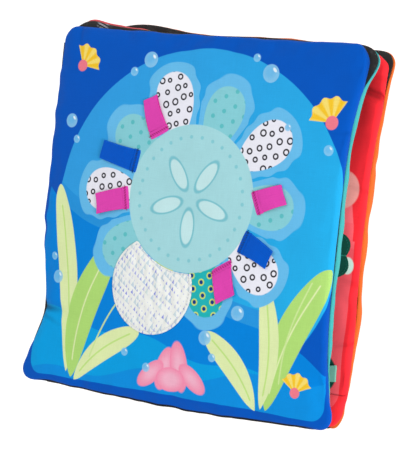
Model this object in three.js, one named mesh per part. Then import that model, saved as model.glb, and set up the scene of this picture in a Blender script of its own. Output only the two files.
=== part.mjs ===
// A baby activity mat of four padded squares on a black base cloth, folded in quarters.
// It lies flat with the blue pad on top. Millimetres, +Z up, +Y to the free top edges of the
// pads, +X to their free side edges. The back folds run along -X, the spine folds along -Y.

import * as THREE from "three";

// Driving dimensions of the padded squares
const padWidth = 360;
const cornerRadius = 16;
const rimHeight = 9.5;
const crownHeight = 6.5;
const shoulder = 4;
const faceCloth = 0.8;
const backCloth = 1;
const pressedFlat = 0.5;

// How far the stuffing draws each side of a square in, at its deepest
const frontSideDrawIn = 15;
const redSideDrawIn = 9;
const orangeSideDrawIn = 8;
const topDrawIn = 1.5;
const pinchDepth = 13;
const pinchFromBottom = 72;
const pinchReachUp = 63;
const pinchReachDown = 30;

// Clearances and folds
const sewnGap = 0.3;
const facingGap = 3;
const foldReach = 2;
const stripCloth = 1.2;
const stripGap = 0.5;
const openSeamGap = 0.9;

// Ribbon tags
const ribbonWidth = 22;
const ribbonPly = 0.8;
const tagLength = 33;
const tagLoopHeight = 3.2;
const tagStitchLength = 5;

// Sewn-on pieces of the blue pad: the round medallion that the tags stand around, and the patch
const medallionCentre = new THREE.Vector2(4, 19);
const medallionRadius = 71;
const tagSeamOutset = 9;
const patchCentre = new THREE.Vector2(-30, -70);
const patchRadius = 48;
const patchLobeDepth = 3;
const patchLobes = 11;
const patchCloth = 0.8;
const patchHem = 3;
const patchSeamGap = 4;
const filmThickness = 0.4;
const filmInset = 6;

// Sewn-on pieces of the red pad, from its free side edge
const leafFromSide = 52;
const leafBelowMiddle = 18;
const leafRadius = 38;
const leafLobeDepth = 5;
const leafLobes = 9;
const leafCloth = 0.8;
const greenTagFromSide = 46;
const greenTagFromBottom = 52;

// Mesh fineness, in counts and shares
const cornerSteps = 4;
const sideSteps = { right: 8, top: 6, left: 12, bottom: 6 };
const patchSteps = 44;
const loopSteps = 6;
const crownPower = 3;
const drawInPower = 3;
const outerCrownShares = [1, 0.94, 0.84, 0.7, 0.52, 0.33];
const innerCrownShares = [1, 0.84, 0.52];
const outerWallShares = [
  { up: 0, inset: 0.45 },
  { up: 0.3, inset: 0.08 },
  { up: 0.62, inset: 0 },
  { up: 0.86, inset: 0.32 },
];
const innerWallShares = [
  { up: 0, inset: 0.45 },
  { up: 0.5, inset: 0.05 },
];
const patchRingShares = [1, 0.7, 0.4];

// Places on the red pad, and heights of the folds: orange lies lowest, then red, teal and blue
const half = padWidth / 2;
const leafCentre = new THREE.Vector2(half - leafFromSide, -leafBelowMiddle);
const greenTagSeam = new THREE.Vector2(half - greenTagFromSide, greenTagFromBottom - half);
const padHeight = rimHeight + crownHeight;
const lowerBackFold = padHeight - pressedFlat + sewnGap / 2;
const upperBackFold = lowerBackFold + sewnGap + 2 * padHeight + facingGap;

function cloth(colour, roughness = 0.9) {
  return new THREE.MeshStandardMaterial({ color: colour, roughness, metalness: 0 });
}

const fabric = {
  blue: cloth("#0356be"),
  teal: cloth("#50c4c6"),
  red: cloth("#f02d35"),
  orange: cloth("#ff8042"),
  black: cloth("#2c2b2a"),
  wadding: cloth("#f2f1ec", 1),
  patch: cloth("#f1f4ee", 0.45),
  film: cloth("#dfe6ee", 0.25),
  pinkRibbon: cloth("#e045b0", 0.6),
  blueRibbon: cloth("#0055c4", 0.6),
  greenRibbon: cloth("#7fc0ad", 0.6),
  leaf: cloth("#0b4a3e"),
};

const pads = {
  blue: { sideDrawIn: frontSideDrawIn, pinch: pinchDepth, pressed: 0, level: upperBackFold, up: 1 },
  teal: { sideDrawIn: frontSideDrawIn, pinch: pinchDepth, pressed: 0, level: upperBackFold, up: -1 },
  red: { sideDrawIn: redSideDrawIn, pinch: 0, pressed: 0, level: lowerBackFold, up: 1 },
  orange: {
    sideDrawIn: orangeSideDrawIn,
    pinch: 0,
    pressed: pressedFlat,
    level: lowerBackFold,
    up: -1,
  },
};

// Corner arcs and straight sides of a rounded square, counter-clockwise from the right side.
function roundedSquare(extent) {
  const arc = (x, y, from) =>
    Array.from({ length: cornerSteps }, (_, i) => {
      const angle = from + (Math.PI / 2) * (i / cornerSteps);
      return [x + cornerRadius * Math.cos(angle), y + cornerRadius * Math.sin(angle)];
    });
  const side = (from, to, steps) =>
    Array.from({ length: steps }, (_, i) => [
      from[0] + (to[0] - from[0]) * (i / steps),
      from[1] + (to[1] - from[1]) * (i / steps),
    ]);
  const { right, top, left, bottom } = extent;
  const inner = {
    right: right - cornerRadius,
    top: top - cornerRadius,
    left: cornerRadius - left,
    bottom: cornerRadius - bottom,
  };
  return [
    ...side([right, inner.bottom], [right, inner.top], sideSteps.right),
    ...arc(inner.right, inner.top, 0),
    ...side([inner.right, top], [inner.left, top], sideSteps.top),
    ...arc(inner.left, inner.top, Math.PI / 2),
    ...side([-left, inner.top], [-left, inner.bottom], sideSteps.left),
    ...arc(inner.left, inner.bottom, Math.PI),
    ...side([inner.left, -bottom], [inner.right, -bottom], sideSteps.bottom),
    ...arc(inner.right, inner.bottom, (3 * Math.PI) / 2),
  ];
}

// Where the pull of the stuffing takes a point of the plain square.
function drawnIn(pad, x, y) {
  const alongSide = Math.min(1, Math.abs(y) / half) ** drawInPower;
  const alongTop = Math.min(1, Math.abs(x) / half) ** drawInPower;
  const fromPinch = y + half - pinchFromBottom;
  const pinchReach = fromPinch > 0 ? pinchReachUp : pinchReachDown;
  const pull =
    x > 0 ? pad.sideDrawIn * (1 - alongSide) : pad.pinch * Math.exp(-((fromPinch / pinchReach) ** 2));
  const topPull = y > 0 ? topDrawIn * (1 - alongTop) : 0;
  return [x * (1 - pull / half), y * (1 - topPull / half)];
}

// Height of the print face above the backing, at a point of the plain square.
function faceHeight(pad, x, y, inset) {
  const crown = (v) => 1 - Math.min(1, Math.abs(v) / (half - shoulder)) ** crownPower;
  const height = rimHeight + crownHeight * crown(x) * crown(y);
  return Math.min(height, padHeight - pad.pressed) - inset;
}

// Rings of a pad surface at an inset from its outside, from the sewn edge up to the crown.
function padSurface(pad, inset, wallShares, crownShares) {
  const foot = backCloth + sewnGap;
  const square = (reach) => roundedSquare({ right: reach, top: reach, left: reach, bottom: reach });
  const wall = wallShares.map((share) =>
    square(half - inset - share.inset * shoulder).map(([x, y]) => [
      ...drawnIn(pad, x, y),
      foot + share.up * (rimHeight - inset - foot),
    ]),
  );
  const edge = square(half - inset - shoulder);
  const crown = crownShares.map((share) =>
    edge.map(([x, y]) => [
      ...drawnIn(pad, x * share, y * share),
      faceHeight(pad, x * share, y * share, inset),
    ]),
  );
  return { rings: [...wall, ...crown], peak: [0, 0, faceHeight(pad, 0, 0, inset)] };
}

// One closed skin from rings of points: each ring joins the next, and a peak closes the last.
class Skin {
  constructor() {
    this.points = [];
    this.faces = [];
  }

  ring(points) {
    const first = this.points.length;
    this.points.push(...points);
    return { first, count: points.length };
  }

  join(lower, upper, outward = true) {
    for (let i = 0; i < lower.count; i++) {
      const next = (i + 1) % lower.count;
      const [a, b] = [lower.first + i, lower.first + next];
      const [c, d] = [upper.first + next, upper.first + i];
      this.faces.push(...(outward ? [a, b, c, a, c, d] : [a, c, b, a, d, c]));
    }
  }

  close(ring, peak, outward = true) {
    const top = this.points.length;
    this.points.push(peak);
    for (let i = 0; i < ring.count; i++) {
      const [a, b] = [ring.first + i, ring.first + ((i + 1) % ring.count)];
      this.faces.push(...(outward ? [a, b, top] : [b, a, top]));
    }
  }

  surface({ rings, peak }, outward) {
    const made = rings.map((points) => this.ring(points));
    made.slice(1).forEach((upper, i) => this.join(made[i], upper, outward));
    this.close(made.at(-1), peak, outward);
    return made[0];
  }

  geometry() {
    const geometry = new THREE.BufferGeometry();
    geometry.setAttribute("position", new THREE.Float32BufferAttribute(this.points.flat(), 3));
    geometry.setIndex(this.faces);
    geometry.computeVertexNormals();
    return geometry;
  }
}

// The printed face cloth: a crowned tray with a side wall, open over the backing.
function faceCover(pad) {
  const skin = new Skin();
  const outside = skin.surface(padSurface(pad, 0, outerWallShares, outerCrownShares), true);
  const inside = skin.surface(padSurface(pad, faceCloth, innerWallShares, innerCrownShares), false);
  skin.join(inside, outside);
  return skin.geometry();
}

// The wadding that fills the tray, clear of its cloth.
function batting(pad) {
  const skin = new Skin();
  const inset = faceCloth + sewnGap;
  const foot = skin.surface(padSurface(pad, inset, innerWallShares, innerCrownShares), true);
  skin.close(foot, [0, 0, backCloth + sewnGap], false);
  return skin.geometry();
}

// The black base cloth under one pad, out to the back fold line and to the spine strips.
function backing(pad, reachToSpine) {
  const skin = new Skin();
  const extent = {
    right: half - shoulder / 2,
    top: half - shoulder / 2,
    left: half + foldReach - sewnGap / 2,
    bottom: half + reachToSpine,
  };
  const sheet = (z) => roundedSquare(extent).map(([x, y]) => [...drawnIn(pad, x, y), z]);
  const bottom = skin.ring(sheet(0));
  const top = skin.ring(sheet(backCloth));
  skin.join(bottom, top);
  skin.close(bottom, [0, 0, 0], false);
  skin.close(top, [0, 0, backCloth], true);
  return skin.geometry();
}

// A patch sewn on a crowned face: its hem lies on the face, and its middle lies over what it covers.
function sewnOn(pad, outline, { cloth: thickness, hem, lift }) {
  const centre = outline.centre;
  const place = (share, inset, above) =>
    outline.points.map(([x, y]) => {
      const [dx, dy] = [x - centre.x, y - centre.y];
      const reach = (Math.hypot(dx, dy) - inset) / Math.hypot(dx, dy);
      const [px, py] = [centre.x + dx * reach * share, centre.y + dy * reach * share];
      return [px, py, faceHeight(pad, px, py, 0) + above];
    });
  const middle = (above) => [centre.x, centre.y, faceHeight(pad, centre.x, centre.y, 0) + above];
  const skin = new Skin();
  const ringsAt = (low, high) => [
    place(1, 0, low),
    place(1, hem, low),
    ...patchRingShares.map((share) => place(share, hem + hem / 2, high)),
  ];
  const bottomAbove = sewnGap + lift;
  const top = { rings: ringsAt(sewnGap + thickness, bottomAbove + thickness) };
  const bottom = { rings: ringsAt(sewnGap, bottomAbove) };
  top.peak = middle(bottomAbove + thickness);
  bottom.peak = middle(bottomAbove);
  const over = skin.surface(top, true);
  const under = skin.surface(bottom, false);
  skin.join(under, over);
  return skin.geometry();
}

// Points round a centre, at a distance that depends on the direction.
function roundOutline(centre, distance) {
  const points = Array.from({ length: patchSteps }, (_, i) => {
    const angle = (2 * Math.PI * i) / patchSteps;
    const far = distance(angle);
    return [centre.x + far * Math.cos(angle), centre.y + far * Math.sin(angle)];
  });
  return { centre, points };
}

// The crinkle patch: a fan with a scalloped hem, hollowed where it meets the medallion.
function patchOutline(inset = 0) {
  const away = patchCentre.clone().sub(medallionCentre);
  const clear = medallionRadius + patchSeamGap + inset;
  return roundOutline(patchCentre, (angle) => {
    const lobe = Math.abs(Math.sin((patchLobes * angle) / 2));
    const fan = patchRadius - inset - patchLobeDepth * (1 - lobe);
    const towards = -(away.x * Math.cos(angle) + away.y * Math.sin(angle));
    const beside = towards ** 2 - away.lengthSq() + clear ** 2;
    return towards > 0 && beside > 0 ? Math.min(fan, towards - Math.sqrt(beside)) : fan;
  });
}

// The dark leaf cluster on the red pad, with rounded lobes.
function leafOutline() {
  return roundOutline(leafCentre, (angle) => {
    const lobe = Math.abs(Math.sin((leafLobes * angle) / 2));
    return leafRadius - leafLobeDepth * (1 - lobe);
  });
}

// A ribbon folded into a flat loop, from its stitched end at the origin along +X.
function tagLoop() {
  const bend = tagLoopHeight / 2;
  const loop = (shape, start, low, high) => {
    const radius = (high - low) / 2;
    const middle = tagLength - bend;
    shape.moveTo(start, low);
    shape.lineTo(middle, low);
    shape.absarc(middle, low + radius, radius, -Math.PI / 2, Math.PI / 2, false);
  };
  const outside = new THREE.Shape();
  loop(outside, 0, -ribbonPly, tagLoopHeight - ribbonPly);
  outside.lineTo(tagStitchLength, ribbonPly);
  outside.lineTo(0, ribbonPly);
  outside.closePath();
  const inside = new THREE.Path();
  loop(inside, tagStitchLength + ribbonPly, 0, tagLoopHeight - 2 * ribbonPly);
  inside.closePath();
  outside.holes.push(inside);
  const geometry = new THREE.ExtrudeGeometry(outside, {
    depth: ribbonWidth,
    bevelEnabled: false,
    curveSegments: loopSteps,
  });
  geometry.translate(0, 0, -ribbonWidth / 2);
  geometry.rotateX(Math.PI / 2);
  return geometry;
}

// A tag on a pad's face: its seam at a point, its free end in a direction, square to the face.
function tagOn(pad, name, material, seam, degrees) {
  const mesh = new THREE.Mesh(tagLoop(), material);
  mesh.name = name;
  const step = cornerRadius;
  const height = (x, y) => faceHeight(pad, x, y, 0);
  const slope = [
    (height(seam.x + step, seam.y) - height(seam.x - step, seam.y)) / (2 * step),
    (height(seam.x, seam.y + step) - height(seam.x, seam.y - step)) / (2 * step),
  ];
  const normal = new THREE.Vector3(-slope[0], -slope[1], 1).normalize();
  const angle = THREE.MathUtils.degToRad(degrees);
  const outward = new THREE.Vector3(Math.cos(angle), Math.sin(angle), 0);
  const across = new THREE.Vector3().crossVectors(normal, outward).normalize();
  const along = new THREE.Vector3().crossVectors(across, normal);
  mesh.quaternion.setFromRotationMatrix(new THREE.Matrix4().makeBasis(along, across, normal));
  mesh.position.set(seam.x, seam.y, height(seam.x, seam.y));
  mesh.position.addScaledVector(normal, sewnGap + ribbonPly);
  return mesh;
}

// The tags round the medallion: where each is sewn, seen from its centre, and where it points.
const tagPlaces = [
  { name: "tag_pink_top", ribbon: "pinkRibbon", seamDegrees: 126, pointDegrees: 119 },
  { name: "tag_blue_upper_left", ribbon: "blueRibbon", seamDegrees: 156.5, pointDegrees: 170 },
  { name: "tag_pink_left", ribbon: "pinkRibbon", seamDegrees: 185, pointDegrees: 193 },
  { name: "tag_pink_right", ribbon: "pinkRibbon", seamDegrees: 3.5, pointDegrees: 23 },
  { name: "tag_blue_right", ribbon: "blueRibbon", seamDegrees: -27.5, pointDegrees: -20 },
  { name: "tag_pink_lower", ribbon: "pinkRibbon", seamDegrees: -55, pointDegrees: -76 },
];

function named(name, geometry, material) {
  const mesh = new THREE.Mesh(geometry, material);
  mesh.name = name;
  return mesh;
}

// One padded square: print cover, wadding and black backing, print side up or down.
function padGroup(colour, reachToSpine) {
  const pad = pads[colour];
  const group = new THREE.Group();
  group.position.z = pad.level + (pad.up * sewnGap) / 2;
  group.scale.z = pad.up;
  group.add(
    named(colour + "_face_cover", faceCover(pad), fabric[colour]),
    named(colour + "_batting", batting(pad), fabric.wadding),
    named(colour + "_backing", backing(pad, reachToSpine), fabric.black),
  );
  return group;
}

// A black strip of base cloth that stands along the spine, from one backing to the other.
function spineStrip(name, innerFace, bottom, top) {
  const [length, height] = [padWidth - 2 * cornerRadius, top - bottom];
  const geometry = new THREE.BoxGeometry(length, stripCloth, height);
  geometry.translate(0, innerFace - stripCloth / 2, bottom + height / 2);
  return named(name, geometry, fabric.black);
}

const mat = new THREE.Group();

// The spine: the inner strip joins red to teal, the outer one starts at orange and ends free.
const innerStripFace = -half - stripGap;
const outerStripFace = innerStripFace - stripCloth - sewnGap;
const innerReach = stripGap - sewnGap;
const outerReach = stripGap + stripCloth;
mat.add(
  spineStrip(
    "inner_spine_strip",
    innerStripFace,
    lowerBackFold + sewnGap / 2,
    upperBackFold - sewnGap / 2,
  ),
  spineStrip(
    "outer_spine_strip",
    outerStripFace,
    lowerBackFold - sewnGap / 2,
    upperBackFold - sewnGap / 2 - openSeamGap,
  ),
);

const bluePad = padGroup("blue", outerReach);
const film = sewnOn(pads.blue, patchOutline(filmInset), { cloth: filmThickness, hem: patchHem, lift: 0 });
const patch = sewnOn(pads.blue, patchOutline(), {
  cloth: patchCloth,
  hem: patchHem,
  lift: filmThickness + sewnGap,
});
bluePad.add(
  named("crinkle_film", film, fabric.film),
  named("crinkle_patch", patch, fabric.patch),
);
for (const { name, ribbon, seamDegrees, pointDegrees } of tagPlaces) {
  const angle = THREE.MathUtils.degToRad(seamDegrees);
  const reach = medallionRadius + tagSeamOutset;
  const seam = new THREE.Vector2(Math.cos(angle), Math.sin(angle));
  seam.multiplyScalar(reach).add(medallionCentre);
  bluePad.add(tagOn(pads.blue, name, fabric[ribbon], seam, pointDegrees));
}

const redPad = padGroup("red", innerReach);
const leaf = sewnOn(pads.red, leafOutline(), { cloth: leafCloth, hem: patchHem, lift: 0 });
redPad.add(
  named("leaf_applique", leaf, fabric.leaf),
  tagOn(pads.red, "tag_green", fabric.greenRibbon, greenTagSeam, 0),
);
mat.add(bluePad, padGroup("teal", innerReach), redPad, padGroup("orange", outerReach));

// The origin is the middle of the footprint, on the surface that the mat lies on.
const box = new THREE.Box3().setFromObject(mat, true);
const centre = box.getCenter(new THREE.Vector3());
mat.position.set(-centre.x, -centre.y, -box.min.z);

const activityMat = new THREE.Group();
activityMat.add(mat);

export default activityMat;
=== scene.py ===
# Looks of a baby activity mat of four padded squares, folded in quarters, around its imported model.
# Lengths are in millimetres until a mesh is made, and then in metres.

import math

import bmesh
import bpy
import numpy as np
from mathutils import Matrix, Vector
from mathutils.bvhtree import BVHTree


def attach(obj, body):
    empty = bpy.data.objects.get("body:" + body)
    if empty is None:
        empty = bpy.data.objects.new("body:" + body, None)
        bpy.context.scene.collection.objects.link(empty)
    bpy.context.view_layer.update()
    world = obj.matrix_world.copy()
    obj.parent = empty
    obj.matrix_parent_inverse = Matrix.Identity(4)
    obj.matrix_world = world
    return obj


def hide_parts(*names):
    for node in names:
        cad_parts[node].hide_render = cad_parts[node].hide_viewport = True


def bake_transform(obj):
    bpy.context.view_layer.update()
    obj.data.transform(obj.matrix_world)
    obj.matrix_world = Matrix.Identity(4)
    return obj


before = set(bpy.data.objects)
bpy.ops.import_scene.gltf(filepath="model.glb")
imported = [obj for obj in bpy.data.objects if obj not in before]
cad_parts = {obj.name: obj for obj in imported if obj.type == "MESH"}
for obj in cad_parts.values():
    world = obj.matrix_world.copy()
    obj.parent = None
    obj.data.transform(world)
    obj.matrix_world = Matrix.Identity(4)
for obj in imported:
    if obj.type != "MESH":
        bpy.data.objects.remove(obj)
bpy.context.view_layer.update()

MM = 0.001

# The pads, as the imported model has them
SHIFT_X, SHIFT_Y = 1.9, 1.783
HALF = 180.0
CORNER_RADIUS = 16.0
RIM_HEIGHT = 9.5
CROWN_HEIGHT = 6.5
SHOULDER = 4.0
SEWN_GAP = 0.3
FOOT = 1.15
LOWER_FOLD, UPPER_FOLD = 15.65, 50.95
PINCH_FROM_BOTTOM, PINCH_UP, PINCH_DOWN = 72.0, 63.0, 30.0
TOP_DRAW_IN = 1.5
PRESSED = 0.5
HEM_INSET = 3.7
TOP_REACH = 1.0
# How far below the middle the black hem starts on the blue face cloth
LOW_HEM = 178.0

# The spine: inner faces of its two strips, their bottoms and tops, their ends, their flat length,
# and the lengths of the bends
STRIP_THICKNESS = 1.2
INNER_FACE = -HALF - 0.5 + SHIFT_Y
OUTER_FACE = INNER_FACE - STRIP_THICKNESS - SEWN_GAP
INNER_SPAN, OUTER_SPAN = (15.8, 50.8), (15.5, 49.9)
STRIP_ENDS = (-162.1, 160.0)
BACK_BEND_LENGTH, SPINE_BEND_LENGTH = 326, 318

# Fineness and the simulation
GRID_STEPS, CLOTH_STEPS = 72, 48
CLOTH_FRAMES = 20
CLOTH_CAP = 1.7
SWELL = 1.3
SIDE_SWELL = 1.0
CLOTH_SETTINGS = dict(
    quality=5, mass=0.25, tension_stiffness=12, compression_stiffness=12, shear_stiffness=5,
    bending_stiffness=0.6, use_pressure=True, uniform_pressure_force=4.0, shrink_min=-0.035,
    vertex_group_mass="seam",
)

# The medallion, the patch beside it, the leaf, and the tags
MEDALLION = (4.0, 19.0)
MEDALLION_RADIUS, MEDALLION_CLEAR, TAG_SEAM_RADIUS = 72.0, 72.6, 80.0
PETALS = 10
PATCH_CENTRE, PATCH_RADIUS = (-30.0, -70.0), 47.6
LEAF_CENTRE = (128.0, -18.0)
RIBBON_PLY = 0.8
# A ribbon's sewn end, counting what goes through the medallion's seam into the pad
TAB_LENGTH = 11.0

# The photograph's view: focal length and height in its pixels, the sensor's width, the camera's place
# with a small shift left and down that frames the picture, and its three directions
FOCAL_PIXELS, IMAGE_HEIGHT, SENSOR = 2073.63, 452, 36
CAMERA_AT, SHIFT_LEFT, SHIFT_DOWN = (1130.49, 32.61, 1730.74), 1.5, 1.0
RIGHT, UPWARD = Vector((0.82822, 0.11052, -0.54939)), Vector((-0.10177, 0.99372, 0.04649))
FORWARD = Vector((-0.55108, -0.01741, -0.83427))
# The floor reaches this far, and lies this far below the part
FLOOR_REACH, FLOOR_DROP = 4000, 0.05


def srgb(code):
    """Linear colour from a hexadecimal sRGB code."""
    parts = [int(code[i : i + 2], 16) / 255 for i in (1, 3, 5)]
    return tuple(c / 12.92 if c <= 0.04045 else ((c + 0.055) / 1.055) ** 2.4 for c in parts) + (1.0,)


# Materials

def unary(operation):
    return lambda value: value.cloth.math(operation, value)


def binary(operation, swapped=False):
    if swapped:
        return lambda value, other: value.cloth.math(operation, other, value)
    return lambda value, other: value.cloth.math(operation, value, other)


class Value:
    """A number that changes over the cloth: a shader socket that can be reckoned with."""

    def __init__(self, cloth, socket):
        self.cloth, self.socket = cloth, socket

    __add__ = __radd__ = binary("ADD")
    __sub__, __rsub__ = binary("SUBTRACT"), binary("SUBTRACT", swapped=True)
    __mul__ = __rmul__ = binary("MULTIPLY")
    __truediv__, __pow__, __mod__ = binary("DIVIDE"), binary("POWER"), binary("MODULO")
    least, most = binary("MINIMUM"), binary("MAXIMUM")
    __abs__, floor, nearest = unary("ABSOLUTE"), unary("FLOOR"), unary("ROUND")
    sin, cos, exp = unary("SINE"), unary("COSINE"), unary("EXPONENT")

    def clamped(self):
        return self.cloth.math("ADD", self, 0.0, clamp=True)

    def near(self, number):
        """1 where it is that number, else 0."""
        return self.cloth.math("COMPARE", self, float(number), 0.1)


def band(distance, width):
    """A line of that width along a shape's outline."""
    return abs(distance) - width / 2


class Cloth:
    """A fabric material: layers of colour over flat cloth coordinates in millimetres, then its weave."""

    def __init__(self, name, ground, flat=True):
        self.material = bpy.data.materials.new(name)
        self.material.use_nodes = True
        self.tree = self.material.node_tree
        self.shader = self.tree.nodes["Principled BSDF"]
        if flat:
            source = self.node("ShaderNodeUVMap", uv_map="flat")
            self.at = self.vector("MULTIPLY_ADD", source.outputs[0], (1000,) * 3, (-500, -500, 0))
        else:
            source = self.node("ShaderNodeTexCoord")
            self.at = self.vector("SCALE", source.outputs["Object"], scale=1000)
        self.x, self.y, self.z = self.split(self.at)
        self.colour = ground
        self.heights, self.shadows = [], []

    def node(self, kind, inputs=(), **settings):
        made = self.tree.nodes.new(kind)
        for key, value in settings.items():
            setattr(made, key, value)
        for key, value in dict(inputs).items():
            self.link(made.inputs[key], value)
        return made

    def link(self, socket, value):
        if isinstance(value, Value):
            value = value.socket
        if isinstance(value, bpy.types.NodeSocket):
            self.tree.links.new(value, socket)
        else:
            socket.default_value = value

    def math(self, operation, *values, clamp=False):
        made = self.node("ShaderNodeMath", enumerate(values), operation=operation, use_clamp=clamp)
        return Value(self, made.outputs[0])

    def vector(self, operation, *values, scale=None):
        inputs = dict(enumerate(values))
        if scale is not None:
            inputs["Scale"] = scale
        made = self.node("ShaderNodeVectorMath", inputs, operation=operation)
        return Value(self, made.outputs[1]) if operation in ("LENGTH", "DISTANCE") else made.outputs[0]

    def split(self, vector):
        return [Value(self, out) for out in self.node("ShaderNodeSeparateXYZ", {0: vector}).outputs]

    def join(self, x, y):
        return self.node("ShaderNodeCombineXYZ", {0: x, 1: y}).outputs[0]

    def length(self, x, y):
        return self.vector("LENGTH", self.join(x, y))

    def local(self, x, y, degrees=0.0, scale=(1, 1, 1)):
        """Flat coordinates seen from a place, turned by an angle, as a vector."""
        turn = (0, 0, math.radians(degrees))
        inputs = {"Vector": self.at, "Location": (x, y, 0), "Rotation": turn, "Scale": scale}
        return self.node("ShaderNodeMapping", inputs, vector_type="TEXTURE").outputs[0]

    def polar(self, x, y, degrees=0.0):
        """The angle round a place, and the distance from it."""
        s, t, _ = self.split(self.local(x, y, degrees))
        return self.math("ARCTAN2", t, s), self.length(s, t)

    def mask(self, distance, edge=0.4):
        """1 inside a shape and 0 outside, from the distance past its outline."""
        inputs = {"Value": distance, "From Min": edge, "From Max": -edge}
        return Value(self, self.node("ShaderNodeMapRange", inputs).outputs[0])

    def mix(self, under, over, amount):
        under, over = (srgb(c) if isinstance(c, str) else c for c in (under, over))
        inputs = {"Factor": amount, "A": under, "B": over}
        return self.node("ShaderNodeMix", inputs, data_type="RGBA").outputs["Result"]

    def lay(self, colour, amount):
        self.colour = self.mix(self.colour, colour, amount)

    def noise(self, size, detail=2.0, vector=None):
        """Smooth noise from 0 to 1 whose lumps are about that many millimetres wide."""
        inputs = {"Vector": vector or self.at, "Scale": 1 / size, "Detail": detail}
        return Value(self, self.node("ShaderNodeTexNoise", inputs).outputs[0])

    def scatter(self, cell):
        """A random number and colour for each cell."""
        made = self.node("ShaderNodeTexWhiteNoise", {"Vector": cell}, noise_dimensions="2D")
        return Value(self, made.outputs["Value"]), made.outputs["Color"]

    # Shapes, each as the distance past its outline in millimetres

    def disc(self, x, y, radius):
        return self.vector("DISTANCE", self.at, (x, y, 0)) - radius

    def ellipse(self, x, y, along, across, degrees=0.0):
        return (self.vector("LENGTH", self.local(x, y, degrees, (along, across, 1))) - 1) * across

    def frond(self, x, y, degrees, length, width, bend):
        """A long leaf from its foot: the distance past its edge, and the distance from its vein."""
        s, t, _ = self.split(self.local(x, y, degrees))
        share = (s / length).clamped()
        vein = abs(t - (share * 3.6).sin() * bend)
        half = share**0.62 * (1 - share) ** 0.45 * width - 1
        ends = (abs(share - 0.5) - 0.38).most(0.0) * 90
        return vein - half, vein + ends - 0.8

    def square(self, reach, radius):
        """A rounded square round the middle."""
        x, y = (abs(v) - (reach - radius) for v in (self.x, self.y))
        return self.length(x.most(0.0), y.most(0.0)) + x.most(y).least(0.0) - radius

    def staggered(self, pitch, degrees):
        """Cells whose every second row is set off by half: x, y and the row."""
        x, y, _ = self.split(self.vector("SCALE", self.local(0, 0, degrees), scale=1 / pitch))
        row = y.floor()
        return x + row % 2 * 0.5, y, row

    def rings(self, pitch, radius, line, degrees):
        """Staggered small rings, each of its own size, as a mask."""
        x, y, row = self.staggered(pitch, degrees)
        size, colour = self.scatter(self.join(x.floor(), row))
        jitter = self.vector("MULTIPLY_ADD", colour, (0.34, 0.34, 0), (0.33, 0.33, 0))
        away = self.vector("DISTANCE", self.vector("FRACTION", self.join(x, y)), jitter) * pitch
        return self.mask(band(away - (size * (radius * 0.5) + radius * 0.6), line), 0.3)

    def dots(self, pitch, radius, degrees):
        """Staggered round dots."""
        x, y, _ = self.staggered(pitch, degrees)
        inside = self.vector("FRACTION", self.join(x, y))
        return self.vector("DISTANCE", inside, (0.5, 0.5, 0)) * pitch - radius

    def stripes(self, pitch, degrees):
        """Even stripes, as a mask."""
        s = self.split(self.local(0, 0, degrees))[0]
        return self.mask((s * (2 * math.pi / pitch)).sin() * (-pitch / 6), 0.3)

    # Surface

    def raise_by(self, height, millimetres):
        self.heights.append((height, millimetres))

    def weave(self, pitch, depth):
        """The small relief of crossing threads."""
        turn = 2 * math.pi / pitch
        self.raise_by((self.x * turn).sin() * (self.y * turn).sin() * 0.5 + 0.5, depth)

    def crease_and_painted_shade(self, start, end, width, depth, painted_darkness):
        """A soft furrow that fades out from its start towards its end, with painted shade darkening its groove;
        with no depth it is a band of painted shade only.
        """
        (x0, y0), (x1, y1) = start, end
        s, t, _ = self.split(self.local(x0, y0, math.degrees(math.atan2(y1 - y0, x1 - x0))))
        share = (s / math.hypot(x1 - x0, y1 - y0)).clamped()
        groove = ((abs(t) / width) ** 2 * -1).exp() * (s * 0.2 + 1).clamped() * (1 - share)
        # painted shade: the groove darkens the cloth's colour by this share
        self.shadows.append(groove * painted_darkness)
        self.raise_by(groove, -depth)

    def finish(self, roughness, sheen, variation, coat=0.0, fuzz=0.05, shine=0.12, tone=1.0):
        """Uneven colour with the painted shade of the creases, roughness, sheen and the relief of all layers.
        """
        grain = self.noise(0.9, 3)
        least = 1 - variation / 2
        shade = (self.noise(26, 3) * variation + least) * tone
        # painted shade of the creases darkens the colour
        for painted_darkness in self.shadows:
            shade = shade * (1 - painted_darkness)
        slubs = [self.noise(1.0, 1, self.vector("DIVIDE", self.at, s)) for s in ((0.7, 16, 1), (16, 0.7, 1))]
        for uneven in (grain, *slubs):
            shade = shade * (uneven * variation + least)
        if isinstance(self.colour, str):
            self.lay(self.colour, 0.0)
        for key, value in {
            "Base Color": self.vector("SCALE", self.colour, scale=shade),
            "Roughness": (grain * 0.12 + (roughness - 0.06)).clamped(),
            "Sheen Weight": sheen, "Sheen Roughness": 0.5, "Coat Weight": coat, "Coat Roughness": 0.25,
            "Specular IOR Level": shine,
        }.items():
            self.link(self.shader.inputs[key], value)
        self.raise_by(self.noise(0.7, 3), fuzz)
        target = self.shader.inputs["Normal"]
        for height, millimetres in reversed(self.heights):
            inputs = {"Distance": millimetres * MM, "Strength": 1.0, "Height": height}
            bump = self.node("ShaderNodeBump", inputs)
            self.link(target, bump.outputs[0])
            target = bump.inputs["Normal"]
        return self.material


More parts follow.
